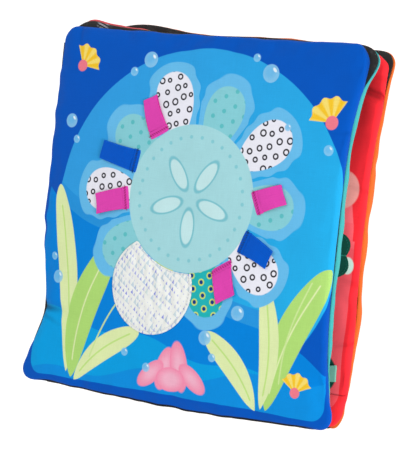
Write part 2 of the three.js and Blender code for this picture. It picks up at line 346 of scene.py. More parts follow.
# The sea scene on the blue square
KELP = [
    (-126, -168, 99, 190, 27, -7, "#DFEDAF", "#BFE382"), (-120, -172, 76, 146, 38, 9, "#B0DC76", "#DFEDAF"),
    (-116, -174, 40, 96, 27, 6, "#DFEDAF", "#BFE382"), (112, -172, 70, 150, 36, 8, "#B0DC76", "#DFEDAF"),
    (106, -172, 92, 118, 24, -6, "#DFEDAF", "#BFE382"), (100, -174, 131, 92, 27, -5, "#DFEDAF", "#BFE382"),
]
STEMS = [(-104, -166, 60, 150, 9), (124, -160, 78, 132, 8)]
CORAL = [
    (-6, -148, 22, 10, 76), (11, -144, 25, 10, 102), (-22, -155, 19, 9, 42), (27, -154, 19, 9, 142),
    (2, -158, 17, 12, 0),
]
SHELLS = [(-146, 140, 21, 52), (150, 104, 24, 118), (142, -150, 18, 84)]
BUBBLES = [
    (-62, 151, 8), (-80, 138, 4.5), (78, 146, 9), (60, 160, 4), (150, 78, 5), (-152, 84, 7),
    (-143, 66, 4), (-148, -74, 6.5), (-56, -138, 4), (38, -112, 7), (48, -130, 4), (72, -84, 7),
    (-156, -54, 4), (104, 96, 3.5), (-28, -150, 4.5),
]
# Furrows in the cloth, each with painted shade darkening its groove, and one with no depth that is only a band
# of painted shadow: start, end, width, depth and shade
FURROWS_AND_PAINTED_SHADE = {
    "blue": [
        ((-174, -106), (-137, -108), 2.8, 2.6, 0.9), ((-170, -112), (-136, -124), 2.4, 1.2, 0.3),
        ((-155, 186), (-150, 140), 2.0, 0.7, 0.12), ((168, 96), (150, 92), 2.0, 0.6, 0.1),
    ],
    "red": [
        ((150, 143), (190, 128), 3.4, 3.0, 0.4), ((186, 131), (150, 143), 3.0, 2.2, 0.28),
        # the first entry below has no depth: a band of painted shadow where the teal pad overhangs the red face
        ((162, 152), (161, 58), 8.0, 0.0, 0.55), ((186, 150), (158, 154), 2.4, 1.6, 0.2),
        ((176, 44), (140, 49), 2.4, 1.2, 0.16), ((176, -44), (136, -38), 2.4, 1.2, 0.16),
        ((178, -100), (140, -104), 2.4, 1.2, 0.16),
    ],
}


def finish_print(c, colour, tone):
    """What all four prints share: furrows with their painted shade, weave and a matt surface."""
    for crease_and_painted_shade in FURROWS_AND_PAINTED_SHADE.get(colour, []):
        c.crease_and_painted_shade(*crease_and_painted_shade)
    c.weave(0.9, 0.03)
    return c.finish(roughness=0.85, sheen=0.04, variation=0.1, shine=0.03, tone=tone)


def blue_print():
    """A sea scene: a bright round glow, a sand slope, kelp, bubbles, and a round flower of petals."""
    c = Cloth("blue_print", "#0356BE")
    # the glow, lighter towards its right side
    glow = c.mask(c.disc(10, -3, 169))
    c.lay(c.mix("#329FE4", "#22AEE8", ((c.x - c.y * 0.4) * 0.003 + 0.45).clamped()), glow)
    # far rock and the slope of sand
    lower = c.y + c.x * 0.42 + 58 + (c.x / 27).sin() * 7
    within = c.mask(c.square(173, 13))
    c.lay("#2795DE", c.mask(lower - 17) * glow)
    c.lay("#0084DD", c.mask(lower) * within)
    ripple = (c.x / 19).sin() * 5
    for slant, level, colour in ((0.13, 128, "#06A0E4"), (-0.1, 153, "#0A8FE0")):
        c.lay(colour, c.mask(c.y + c.x * slant + level + ripple) * within)
    for *leaf, blade, rib in KELP:
        edge, vein = c.frond(*leaf)
        c.lay(blade, c.mask(edge))
        c.lay(rib, c.mask(vein))
    for x, y, degrees, length, bend in STEMS:
        c.lay("#CDE79A", c.mask(c.frond(x, y, degrees, length, 1, bend)[1]))
    # coral: rounded pink lobes with paler middles
    for lobe in CORAL:
        past = c.ellipse(*lobe)
        c.lay("#F58CAE", c.mask(past))
        c.lay("#F5B4CB", c.mask(past + 3.5, 3.5))
    # shells: a ribbed yellow fan with a small foot
    for x, y, radius, degrees in SHELLS:
        angle, away = c.polar(x, y, degrees)
        rib = (angle * 11).cos()
        fan = c.mask(away - (rib * (radius * 0.05) + radius)) * c.mask(abs(angle) - 1.05, 0.03)
        c.lay("#F5C62E", fan)
        c.lay("#F8E27A", fan * c.mask(rib * -1, 0.6) * 0.85)
        c.lay("#F07C8C", c.mask(c.disc(x, y, radius * 0.28)))
    # the flower: petals, every second one longer, with pale halos round a sand dollar
    angle, away = c.polar(*MEDALLION)

    def spoke(count, offset=0.0):
        """Along and across the nearest of a count of spokes, and its number."""
        number = angle / (2 * math.pi / count) + offset
        aside = (number - number.nearest()) * (2 * math.pi / count)
        return away * aside.cos(), away * aside.sin(), number.nearest()

    along, across, sector = spoke(PETALS)
    parity = (sector + 20) % 4
    reach = along - ((parity % 2).near(1) * 11 + 84)
    petal = c.length(reach * 0.68, across * 22 / (reach * 0.16 + 21)) - 22
    c.lay("#68BDEC", c.mask(petal - 7.5 + (away * 0.33).sin()))
    spots = c.dots(11.5, 3.4, 40)
    ringed = c.mix("#ECECF6", "#26242C", c.rings(11.0, 2.7, 1.6, 17))
    striped = c.mix("#E3E86F", "#CBDD3C", c.stripes(6.2, 62))
    spotted = c.mix(c.mix("#23B5B8", "#D5E36A", c.mask(spots)), "#123A86", c.mask(spots + 1.3))
    filling = c.mix("#88CFD8", "#5FBFC4", c.mask(c.dots(13, 2.2, 24)))
    for fabric, where in (
        (ringed, parity.near(1)), (ringed, parity.near(3)),
        (striped, sector.near(-3)), (spotted, sector.near(-2)),
    ):
        filling = c.mix(filling, fabric, where)
    c.lay(filling, c.mask(petal))
    # the sand dollar: a smooth disc with five slim leaves and a ring of pores
    c.lay("#A6DAE0", c.mask(c.disc(*MEDALLION, MEDALLION_RADIUS)))
    along, across, _ = spoke(5, 0.25)
    leaf = c.length((along - 28) * 0.42, across) - 7.6
    c.lay("#C4E8EA", c.mask(leaf))
    c.lay("#7CC3CF", c.mask(band(leaf, 1.6)))
    along, across, _ = spoke(30)
    c.lay("#86CBD5", c.mask(c.length(along - 60, across) - 1.8))
    # bubbles with a highlight
    for x, y, r in BUBBLES:
        c.lay("#8FCBEF", c.mask(c.disc(x, y, r)) * 0.85)
        c.lay("#5FB6EA", c.mask(c.disc(x - r * 0.12, y + r * 0.1, r * 0.66), r * 0.3) * 0.6)
        c.lay("#E9F6FD", c.mask(c.ellipse(x + r * 0.42, y + r * 0.4, r * 0.3, r * 0.16, -45)))
    # the turned hem of the base cloth, along the low rim
    hem = c.y + LOW_HEM
    for middle, spread, drop in ((30, 105, 3.5), (-60, 150, 1.8)):
        hem = hem + (((abs(c.x - middle)) / spread) ** 2 * -1).exp() * drop
    c.lay("#17181A", c.mask(hem) * c.mask(abs(c.x) - 160, 6.0))
    return finish_print(c, "blue", 0.77)


# The quieter prints. A shape is its kind, place, radius and two colours; a patch has its other radius last
PRINTS = {
    "teal": dict(
        ground="#4FC6C6", discs=["#7FD8D4", "#3FB4BC", "#2E9FB0"], seed=0.4, edge="#F4686C", tone=0.66,
        shapes=[
            ("rings", -70, 60, 44, "#F3E36A", "#F08A5A"), ("flower", 72, 74, 46, "#F7F7F0", "#F5C62E"),
            ("dots", 84, -62, 40, "#E86FA8", "#FBE3EE"), ("stripes", -78, -76, 42, "#E3E86F", "#58B7A8"),
            ("rings", 4, -4, 26, "#F6FBFA", "#2E86B8"),
        ],
    ),
    "red": dict(
        ground="#F62C36", discs=["#FF6D76", "#FD626C", "#FB5A64"], seed=1.3, seam=-148.6, tone=0.94,
        shapes=[
            ("patch", 150, 44, 17, "#FDA39C", 18), ("flower", -60, 70, 50, "#FBD7D0", "#F5C62E"),
            ("flower", 70, 78, 34, "#F7A6BE", "#F03A66"), ("rings", -84, -66, 38, "#FDC9A8", "#E23A4A"),
            ("dots", 22, -50, 40, "#F9E6DF", "#E2504E"), ("flower", 138, 22, 14, "#F56FAF", "#FBD0E2"),
            ("patch", 163, -27, 6, "#D7EFE2", 8), ("patch", 149, -131, 15, "#0B4A3C", 18),
        ],
    ),
    "orange": dict(
        ground="#FF7E38", discs=["#FFA54F", "#FF944A", "#F9803C"], seed=2.1, tone=0.62,
        shapes=[
            ("rings", 0, 10, 60, "#FFD35A", "#FF8A3C"), ("flower", -104, 96, 34, "#FFF0C9", "#F0564A"),
            ("flower", 104, 96, 34, "#FFF0C9", "#2FA7A4"), ("stripes", -100, -96, 34, "#FFE08A", "#F0564A"),
            ("dots", 100, -96, 34, "#FDF3E0", "#FF7E38"),
        ],
    ),
}


def plain_print(colour, ground, discs, seed, shapes, tone, edge=None, seam=None):
    """A quieter print: a big disc with bands of waves, and a few round motifs."""
    c = Cloth(colour + "_print", ground)
    glow = c.mask(c.disc(-6, -8, 172).least(c.square(168, 22).most(c.y + 4)))
    c.lay(discs[0], glow)
    for index, shade in enumerate(discs[1:]):
        wave = (c.x / 24 + (seed + index * 1.7)).sin() * 7
        c.lay(shade, c.mask(c.y + wave + (34 * index - 20)) * glow)
    for kind, x, y, radius, first, second in shapes:
        if kind == "flower":
            angle, away = c.polar(x, y, seed * 20)
            c.lay(first, c.mask(away - ((angle * 6).cos() * (radius * 0.18) + radius * 0.8)))
            c.lay(second, c.mask(away - radius * 0.3))
        elif kind == "patch":
            c.lay(first, c.mask(c.ellipse(x, y, radius, second), 0.8))
        else:
            c.lay(first, c.mask(c.disc(x, y, radius)))
        if kind == "rings":
            c.lay(second, c.mask(band(c.disc(x, y, radius * 0.72), radius * 0.14)))
            c.lay(second, c.mask(c.disc(x, y, radius * 0.34)))
        elif kind == "dots":
            c.lay(second, c.mask(c.dots(9, 2.2, 20)) * c.mask(c.disc(x, y, radius - 2)))
        elif kind == "stripes":
            c.lay(second, c.stripes(8, 35) * c.mask(c.disc(x, y, radius)))
    if seam is not None:
        line = band(c.y - seam, 0.9)
        c.lay(ground, c.mask(c.y - seam, 0.3) * glow * 0.35)
        c.lay("#7A1018", c.mask(line, 0.6) * 0.8)
        c.raise_by(c.mask(line, 2.0), -1.2)
    if edge:
        c.lay(edge, c.mask(c.x + 82, 4) * c.mask(168 - c.y, 1.5))
    return finish_print(c, colour, tone)


def black_cloth():
    """Twill, a little worn and linty, with painted highlights as pale glossy streaks at the pushed-up corner.
    """
    c = Cloth("black_cloth", "#2A2928", flat=False)
    c.raise_by(((c.x + c.y + c.z) * (2 * math.pi / 1.1)).sin(), 0.05)
    c.lay("#4A4A4C", c.mask(0.62 - c.noise(9, 4), 0.05) * 0.5)
    # painted highlight: pale glossy streaks on a spot of the black cloth at the pushed-up corner
    corner = c.mask(c.vector("DISTANCE", c.join(c.x, c.y), (-134, 185, 0)) - 6.5, 2.0)
    c.lay("#B4B4BA", c.stripes(3.1, 70) * corner * c.mask(0.4 - c.noise(2.5, 3), 0.1) * 0.9)
    c.lay("#8A8A8C", c.mask(0.73 - c.noise(1.3, 1), 0.02) * 0.45)
    return c.finish(roughness=0.6, sheen=0.12, variation=0.3, fuzz=0.08, tone=0.8)


def ribbon(name, colour, edge):
    """Satin ribbon: fine ribs across, and woven edges. Its flat x runs along the ribbon."""
    c = Cloth(name, colour)
    c.raise_by((c.x * (2 * math.pi / 0.8)).sin() * 0.5 + 0.5, 0.07)
    c.raise_by(c.noise(6, 2), 0.35)
    c.lay(edge, c.mask(10.2 - abs(c.y)) * 0.6)
    return c.finish(roughness=0.5, sheen=0.03, variation=0.16, fuzz=0.02, shine=0.03, tone=0.78)


def thread(name, colour):
    c = Cloth(name, colour, flat=False)
    c.raise_by(((c.x + c.y * 1.7) * 9).sin(), 0.05)
    return c.finish(roughness=0.55, sheen=0.05, variation=0.15, fuzz=0.02, tone=0.75)


def pearly_cloth():
    """White laminate with small violet-blue facets on a slanting lattice."""
    c = Cloth("pearly_cloth", "#F8FAF5")
    spot = c.vector("DIVIDE", c.local(0, 0, -34), (4.4, 5.6, 1))
    tint, _ = c.scatter(c.vector("FLOOR", spot))
    u, v, _ = c.split(c.vector("FRACTION", spot))
    facet = c.mask(u + v - (tint * 0.9 + 0.15), 0.08)
    c.lay("#808DE6", facet * (c.noise(12, 2) * 2.2 - 0.4).clamped() * 0.95)
    c.lay("#D9F1E6", facet * c.mask(0.72 - tint, 0.05) * 0.6)
    c.raise_by(facet, 0.06)
    c.raise_by(c.noise(7, 4), 0.5)
    return c.finish(roughness=0.34, sheen=0.0, variation=0.04, coat=0.2, fuzz=0.02, tone=0.72)


def crackling_film():
    c = Cloth("crackling_film", "#DFE6EE", flat=False)
    c.raise_by(c.noise(5, 5), 0.6)
    return c.finish(roughness=0.2, sheen=0.0, variation=0.05, coat=0.3, fuzz=0.0)


def leaf_cloth():
    c = Cloth("leaf_cloth", "#0C5243")
    angle, away = c.polar(*LEAF_CENTRE)
    vein = abs((angle * 4.5).sin()) * away
    c.lay("#2F9C86", c.mask(vein - 2.2, 0.6) * 0.8)
    c.raise_by(c.mask(vein - 3, 2.0), -0.4)
    c.weave(1.0, 0.05)
    return c.finish(roughness=0.8, sheen=0.05, variation=0.12, tone=0.8)


# Mesh helpers

def mesh_object(name, points, faces, material, flat=None):
    """An object from points in millimetres; flat gives each point's place on the flat cloth."""
    mesh = bpy.data.meshes.new(name)
    mesh.from_pydata((np.asarray(points) * MM).tolist(), [], [[int(v) for v in face] for face in faces])
    mesh.validate()
    mesh.update()
    mesh.polygons.foreach_set("use_smooth", [True] * len(mesh.polygons))
    if flat is not None:
        layer = mesh.uv_layers.new(name="flat")
        loops = np.zeros(len(mesh.loops), np.int32)
        mesh.loops.foreach_get("vertex_index", loops)
        layer.data.foreach_set("uv", (np.asarray(flat)[loops] * MM + 0.5).astype(np.float32).ravel())
    mesh.materials.append(material)
    made = bpy.data.objects.new(name, mesh)
    bpy.context.scene.collection.objects.link(made)
    return made


def closed_object(*parts):
    """The same, of a closed mesh whose faces are then turned outwards."""
    made = mesh_object(*parts)
    work = bmesh.new()
    work.from_mesh(made.data)
    bmesh.ops.recalc_face_normals(work, faces=work.faces)
    work.to_mesh(made.data)
    work.free()
    return made


def coordinates(mesh):
    out = np.zeros(len(mesh.vertices) * 3, np.float32)
    mesh.vertices.foreach_get("co", out)
    return out.reshape(-1, 3).astype(float)


def set_coordinates(target, points):
    target.data.vertices.foreach_set("co", np.asarray(points, np.float32).ravel())
    target.data.update()


def subdivide(target):
    target.modifiers.new("smooth", "SUBSURF")
    graph = bpy.context.evaluated_depsgraph_get()
    mesh = bpy.data.meshes.new_from_object(target.evaluated_get(graph))
    target.modifiers.clear()
    target.data = mesh


def columns(*values):
    return np.stack(values, axis=1)


def wall(upper, lower):
    """Faces between two closed loops of points."""
    after = [*range(1, len(upper)), 0]
    return [(upper[i], lower[i], lower[k], upper[k]) for i, k in enumerate(after)]


def walls(loops):
    return [face for upper, lower in zip(loops, loops[1:]) for face in wall(upper, lower)]


def tube(first, rings, n):
    """Faces of a closed tube of rings of n points."""
    loops = first + np.arange(rings * n).reshape(rings, n)
    return [*walls(loops), loops[0], loops[-1][::-1]]


def net(rows, cols):
    """Quads over rows and columns of points, and the order of their boundary."""
    index = np.arange(rows * cols).reshape(rows, cols)
    quads = np.stack([index[:-1, :-1], index[:-1, 1:], index[1:, 1:], index[1:, :-1]], axis=-1).reshape(-1, 4)
    return quads, np.concatenate([index[0, :-1], index[:-1, -1], index[-1, :0:-1], index[:0:-1, 0]])


def shell(rows, cols):
    """Faces of two layers of rows and columns of points, closed round their edge."""
    quads, ring = net(rows, cols)
    count = rows * cols
    return [*quads, *(count + quads[:, ::-1]), *wall(ring, count + ring)]


def lattice(steps):
    """Points of the unit square, as two rows of coordinates."""
    line = np.linspace(-1, 1, steps + 1)
    b, a = np.meshgrid(line, line, indexing="ij")
    return a.ravel(), b.ravel()


def inflate(target, pinned):
    """Lets the cloth swell under pressure from its pinned seam, and caps how far a point moves."""
    rest = coordinates(target.data)
    target.vertex_groups.new(name="seam").add(list(pinned), 1.0, "REPLACE")
    modifier = target.modifiers.new("swell", "CLOTH")
    for key, value in CLOTH_SETTINGS.items():
        setattr(modifier.settings, key, value)
    modifier.settings.effector_weights.gravity = 0
    modifier.collision_settings.use_collision = False
    for step in range(1, CLOTH_FRAMES + 1):
        bpy.context.scene.frame_set(step)
    graph = bpy.context.evaluated_depsgraph_get()
    move = coordinates(target.evaluated_get(graph).to_mesh()) - rest
    target.modifiers.remove(modifier)
    bpy.context.scene.frame_set(1)
    # the sides keep their drawn-in line, and only swell a little outwards
    from_middle = rest[:, :2] - np.array([SHIFT_X, SHIFT_Y]) * MM
    side = np.maximum(np.abs(from_middle) / (HALF * MM), 1e-6)
    outward = np.sign(from_middle) * side**12
    outward /= np.maximum(np.linalg.norm(outward, axis=1, keepdims=True), 1e-9)
    rim = np.max(side, axis=1)
    inward = np.minimum((move[:, :2] * outward).sum(axis=1), 0) * rim**4
    move[:, :2] -= outward * (inward - SIDE_SWELL * MM * rim**12)[:, None]
    length = np.linalg.norm(move, axis=1, keepdims=True)
    cap = CLOTH_CAP * MM
    move *= np.tanh(length / cap) * cap / np.maximum(length, 1e-9)
    set_coordinates(target, rest + move)


def lumps(x, y, size, seed):
    """Smooth seeded noise over places in millimetres, about -1 to 1."""
    points = columns(x, y, np.zeros_like(x))
    waves = np.random.default_rng(seed)
    total = np.zeros(len(points))
    for octave in (1, 2):
        for _ in range(7):
            direction = waves.normal(size=3)
            direction /= np.linalg.norm(direction)
            pitch = size * waves.uniform(0.75, 1.4) / octave
            phase = waves.uniform(0, 2 * math.pi)
            total += np.sin(points @ direction * 2 * math.pi / pitch + phase) / (2.6 * octave)
    return total


# Pads

def rounded(a, b, reach, radius):
    """Where points of the unit square lie on a square of that reach with round corners."""
    far = np.maximum(np.abs(a), np.abs(b))
    along = np.minimum(np.abs(a), np.abs(b)) / np.where(far > 0, far, 1)
    straight = reach - radius
    past = np.clip((along * reach - straight) / radius, 0, 1)
    angle = past * math.pi / 4
    outer = straight + radius * np.cos(angle)
    beside = np.where(past > 0, straight + radius * np.sin(angle), along * reach)
    a_leads = np.abs(a) >= np.abs(b)
    x = np.where(a_leads, outer, beside) * np.sign(a) * far
    y = np.where(a_leads, beside, outer) * np.sign(b) * far
    return x, y


# Each push moves the edge near a place: (x, y), its reach, how far, and how round it is where that isn't 2.
# A tuck is how far the open side is drawn in at a height y. A crease is its start, end, width and depth.
PADS = {
    "blue": dict(
        draw=15, pinch=13, level=UPPER_FOLD, up=1, pressed=0, cloth_end=1.7, tuck=[(0, 0)],
        pushes=[
            ((-186, 60), 90, (1.6, 0)), ((-184, -176), 26, (-5.5, 0)), ((30, -182), 105, (0, -3.5)),
            ((-186, -150), 18, (-0.8, 0)), ((180, -172), 22, (3, 0)), ((176, 146), 24, (2.4, 0)),
            ((186, 182), 20, (-3, -1)), ((-60, -182), 150, (0, -1.8)), ((-186, 170), 45, (2.5, 0)),
            ((-186, -136), 34, (2.4, 0)), ((-182, -182), 15, (-5.5, -3)),
        ],
        creases=[
            ((-172, -106), (-112, -110), 5.5, 4.6), ((-168, -98), (-150, -40), 9, 1.4),
            ((-156, 184), (-148, 130), 6, 1.2),
        ],
    ),
    "teal": dict(
        draw=15, pinch=13, level=UPPER_FOLD, up=-1, pressed=0, cloth_end=0.2, low_end=118, hem=(-160, -100),
        tuck=[
            (-150, 9), (-128, 8), (-108, 3.2), (-64, 1.4), (0, 0.2), (40, 1.0), (78, 3.2), (150, 3.6),
            (165, 7), (180, 11),
        ],
        pushes=[
            ((182, 166), 19, (9.5, -1)), ((176, 146), 20, (1.6, 0)), ((184, -12), 52, (1.0, 0)),
            ((-149, 184), 25, (0, 9.5), 1.3), ((-104, 182), 30, (0, 2.5)), ((-178, 182), 18, (3, -4)),
            ((-186, 60), 90, (1.6, 0)), ((-184, -176), 26, (5, 0)),
        ],
    ),
    "red": dict(
        draw=9, pinch=0, level=LOWER_FOLD, up=1, pressed=0, cloth_end=0.2, tuck=[(0, 0)],
        pushes=[
            ((176, 184), 20, (-1, -7)), ((184, 128), 22, (2, 0)), ((184, 100), 34, (2.2, 0)),
            ((184, -182), 30, (-8.5, -0.8)), ((184, -30), 36, (1.5, 0)), ((184, -92), 34, (2.4, 0)),
            ((184, 35), 22, (1.4, 0)),
        ],
        creases=[
            ((186, 130), (140, 145), 5, 4.0), ((176, 8), (130, 12), 7, 1.2), ((176, -38), (130, -44), 7, 1.2),
        ],
    ),
    "orange": dict(
        draw=8, pinch=0, level=LOWER_FOLD, up=-1, pressed=PRESSED, cloth_end=1.7, low_end=146,
        tuck=[(-180, 2.4), (-130, 3.5), (-60, 1.5), (20, 0), (60, 0), (100, 5), (180, 8)],
        pushes=[
            ((184, 176), 22, (3.4, 0)), ((186, 130), 50, (2.5, 0)), ((-108, 184), 50, (0, 10)),
            ((40, 182), 95, (0, 4.8)), ((178, -140), 40, (-1.8, 0)), ((184, -182), 32, (-9.5, -3.5)),
            ((-176, 182), 30, (3, -5)), ((184, -74), 34, (2.6, 0)), ((150, 182), 28, (0, -3)),
        ],
    ),
}
# Rings of a pad's side, from the face's rim down to the seam: (inset, height) along the folds,
# and along the free edges, where the cover's hem wraps the edge of the base cloth
SIDE = [
    ((2.4, 9.2), (2.4, 9.2)), ((1.0, 8.3), (1.0, 8.3)), ((0.2, 6.9), (0.2, 6.9)), ((0.0, 5.3), (0.0, 5.2)),
    ((0.2, 3.9), (0.1, 3.5)), ((0.7, 2.8), (0.3, 1.9)), ((1.2, 2.1), (0.8, 0.7)), ((1.8, 1.6), (1.6, 0.1)),
    ((2.3, 1.3), (3.4, 0.3)),
]


def drawn(pad, x, y):
    """The pull of the stuffing on a point of the plain square, and the pushes near it."""
    pull_right = pad["draw"] * (1 - np.minimum(1, np.abs(y) / HALF) ** 3)
    past = y + HALF - PINCH_FROM_BOTTOM
    pull_left = pad["pinch"] * np.exp(-((past / np.where(past > 0, PINCH_UP, PINCH_DOWN)) ** 2))
    pull = np.where(x > 0, pull_right, pull_left)
    top = np.where(y > 0, TOP_DRAW_IN * (1 - np.minimum(1, np.abs(x) / HALF) ** 3), 0)
    out_x, out_y = x * (1 - pull / HALF), y * (1 - top / HALF)
    for (px, py), size, (dx, dy), *power in pad["pushes"]:
        weight = np.exp(-((np.hypot(x - px, y - py) / size) ** (power[0] if power else 2)))
        out_x, out_y = out_x + dx * weight, out_y + dy * weight
    return out_x, out_y


def face_height(pad, x, y):
    across, along = (1 - np.minimum(1, np.abs(v) / (HALF - SHOULDER)) ** 3 for v in (x, y))
    return np.minimum(RIM_HEIGHT + CROWN_HEIGHT * across * along, RIM_HEIGHT + CROWN_HEIGHT - pad["pressed"])


def smooth(v):
    v = np.clip(v, 0, 1)
    return v * v * (3 - 2 * v)


def tuck_under(pad, sx, sy):
    """How far the open side's cover is drawn in at its rim, more towards its top corner."""
    return np.interp(sy, *zip(*pad["tuck"])) * smooth((sx - HALF + 26) / 20)


def corner_hem(pad, sx, sy):
    """1 where the cover of the pad shows as a thin hem along its raised corner."""
    if "hem" not in pad:
        return np.zeros_like(sx)
    first, last = pad["hem"]
    return smooth((sx - first) / 8) * (1 - smooth((sx - last) / 14)) * smooth((sy - (HALF - 12)) / 8)


def wrap_share(pad, sx, sy):
    """1 on the open side of a pad, 0 along its folds, its top and the open side's low end."""
    ends = smooth((sy - (HALF - 18)) / 12) + smooth((-sy - pad.get("low_end", HALF - 36)) / 16)
    return np.maximum(smooth((sx - (HALF - 30)) / 20) * (1 - ends), corner_hem(pad, sx, sy))


def hem_slip(sx, sy):
    """How much narrower the open side's hem gets towards its top corner."""
    return 2.3 * smooth((sy - 122) / 40) * smooth((sx - (HALF - 30)) / 20)


def place(pad, x, y, z):
    """Part-frame points of a pad's own points."""
    return columns(x + SHIFT_X, y + SHIFT_Y, pad["level"] + pad["up"] * (SEWN_GAP / 2 + z))


def pad_piece(colour, material):
    """The stuffed square: print face, rounded sides and the seam on the base cloth."""
    pad = PADS[colour]
    a, b = lattice(GRID_STEPS)
    quads, ring = net(GRID_STEPS + 1, GRID_STEPS + 1)
    rx, ry = rounded(a, b, HALF - SHOULDER, CORNER_RADIUS - SHOULDER)
    x, y = drawn(pad, rx - tuck_under(pad, rx, ry), ry)
    rows, flats = [columns(x, y, face_height(pad, rx, ry))], [columns(x, y)]
    walked, before = 0.0, (SHOULDER, RIM_HEIGHT)
    wrap = wrap_share(pad, rx[ring], ry[ring])
    thin = corner_hem(pad, rx[ring], ry[ring])
    for folded, free in SIDE:
        walked += math.hypot(free[0] - before[0], free[1] - before[1])
        before = free
        near, far = (rounded(a[ring], b[ring], HALF - s[0], CORNER_RADIUS - s[0]) for s in (folded, free))
        sx, sy = (n * (1 - wrap) + f * wrap for n, f in zip(near, far))
        height = folded[1] * (1 - wrap) + free[1] * wrap
        if free[1] < 1:
            sy = sy + thin * (free[0] - 0.4) * 0.8
        if free is SIDE[-1][1]:
            sx = sx + hem_slip(sx, sy) * wrap
        sx = sx - tuck_under(pad, sx, sy) * (height / RIM_HEIGHT) ** 2
        fx, fy = rounded(a[ring], b[ring], HALF - SHOULDER + walked, CORNER_RADIUS - SHOULDER + walked)
        dx, dy = drawn(pad, sx, sy)
        rows.append(columns(dx, dy, height))
        flats.append(columns(dx + fx - sx, dy + fy - sy))
    bx, by = rounded(a, b, HALF - HEM_INSET, CORNER_RADIUS - HEM_INSET)
    dx, dy = drawn(pad, bx + hem_slip(bx, by), by)
    rows.append(columns(dx, dy, np.full(len(a), FOOT)))
    flats.append(columns(dx, dy))
    own = np.concatenate(rows)
    first, count = len(a), len(ring)
    bottom = first + len(SIDE) * count
    loops = [ring, *np.arange(first, bottom).reshape(len(SIDE), count), bottom + ring]
    faces = [*quads, *walls(loops), *(bottom + quads[:, ::-1])]
    if pad["up"] < 0:
        faces = [face[::-1] for face in faces]
    piece = mesh_object(colour + "_pad", place(pad, *own.T), faces, material, np.concatenate(flats))
    slack = coordinates(piece.data)
    sunk = 1 - (np.maximum(np.abs(own[:, 0]), np.abs(own[:, 1])) / HALF) ** 4
    slack[:first, 2] -= pad["up"] * SWELL * MM * np.clip(sunk[:first], 0, 1)
    set_coordinates(piece, slack)
    inflate(piece, range(bottom - count, len(own)))
    soften(piece, pad, own, first)
    subdivide(piece)
    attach(piece, colour + "_pad")
    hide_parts(colour + "_face_cover", colour + "_batting")
    pad["surface"] = BVHTree.FromPolygons(
        [tuple(v) for v in coordinates(piece.data) / MM], [tuple(p.vertices) for p in piece.data.polygons]
    )


def soften(piece, pad, own, face_points):
    """Small hand-sewn unevenness: slow waves on the face, puckers along the rim, and creases."""
    points = coordinates(piece.data) / MM
    x, y, z = own.T
    edge = HALF - np.maximum(np.abs(x), np.abs(y))
    near = np.exp(-((np.maximum(edge, 0) / 16) ** 2))
    seed = int(pad["level"]) + 3 * pad["up"]
    lift = 0.55 * lumps(x, y, 95, seed) * np.clip(edge / 25, 0, 1)
    lift += 0.42 * near * lumps(x, y, 17, seed + 1)
    for (px, py), (tx, ty), width, depth in pad.get("creases", []):
        length = math.hypot(tx - px, ty - py)
        ux, uy = (tx - px) / length, (ty - py) / length
        along, aside = (x - px) * ux + (y - py) * uy, (y - py) * ux - (x - px) * uy
        fade = (1 - np.clip(along / length, 0, 1)) ** 1.3 * (along > -8)
        lift -= depth * fade * np.exp(-((aside / width) ** 2))
        lift += depth * 0.35 * fade * np.exp(-(((np.abs(aside) - 1.9 * width) / width) ** 2))
    weight = np.where(np.arange(len(points)) < face_points, 1.0, np.clip((z - 2) / 7, 0, 1))
    points[:, 2] += pad["up"] * lift * weight
    bulge = 0.5 * near * lumps(x, y, 34, seed + 2) * np.clip((z - FOOT) / 3, 0, 1)
    outward = own[:, :2] / np.maximum(np.linalg.norm(own[:, :2], axis=1, keepdims=True), 1)
    points[:, :2] += outward * bulge[:, None]
    points[:, 2] = np.maximum(points[:, 2], 0.02)
    set_coordinates(piece, points * MM)


# Base cloth

def cloth_piece(colour, material):
    """The black base cloth behind one pad, out to the fold and to the spine, with a turned hem."""
    pad = PADS[colour]
    rx, ry = rounded(*lattice(CLOTH_STEPS), 1.0, 0.09)
    right, left, top, bottom = HALF - HEM_INSET + 0.5, HALF + 1.85, HALF + TOP_REACH, HALF + pad["cloth_end"]
    sx = np.where(rx > 0, rx * right, rx * left)
    sy = np.where(ry > 0, ry * top, ry * bottom)
    sx = sx + hem_slip(sx, sy)
    sy = sy - corner_hem(pad, sx, sy) * (TOP_REACH + 0.1)
    # along the spine the base cloth stays sewn in line, and only follows the pushes sideways
    sewn = dict(pad, pushes=[p if p[0][1] > -160 else (p[0], p[1], (p[2][0], 0)) for p in pad["pushes"]])
    x, y = drawn(sewn, sx, sy)
    edge = np.minimum(right - sx, top - sy)
    hem = 0.18 * np.exp(-(((edge - 3) / 2.2) ** 2))
    wave = 0.1 * lumps(sx, sy, 22, 11 + int(pad["level"]))
    points = np.concatenate([place(pad, x, y, z) for z in (np.full_like(x, 0.98), 0.12 + wave - hem)])
    faces = shell(CLOTH_STEPS + 1, CLOTH_STEPS + 1)
    if pad["up"] < 0:
        faces = [face[::-1] for face in faces]
    piece = mesh_object(colour + "_base_cloth", points, faces, material, np.tile(columns(sx, sy), (2, 1)))
    subdivide(piece)
    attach(piece, colour + "_pad")
    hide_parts(colour + "_backing")


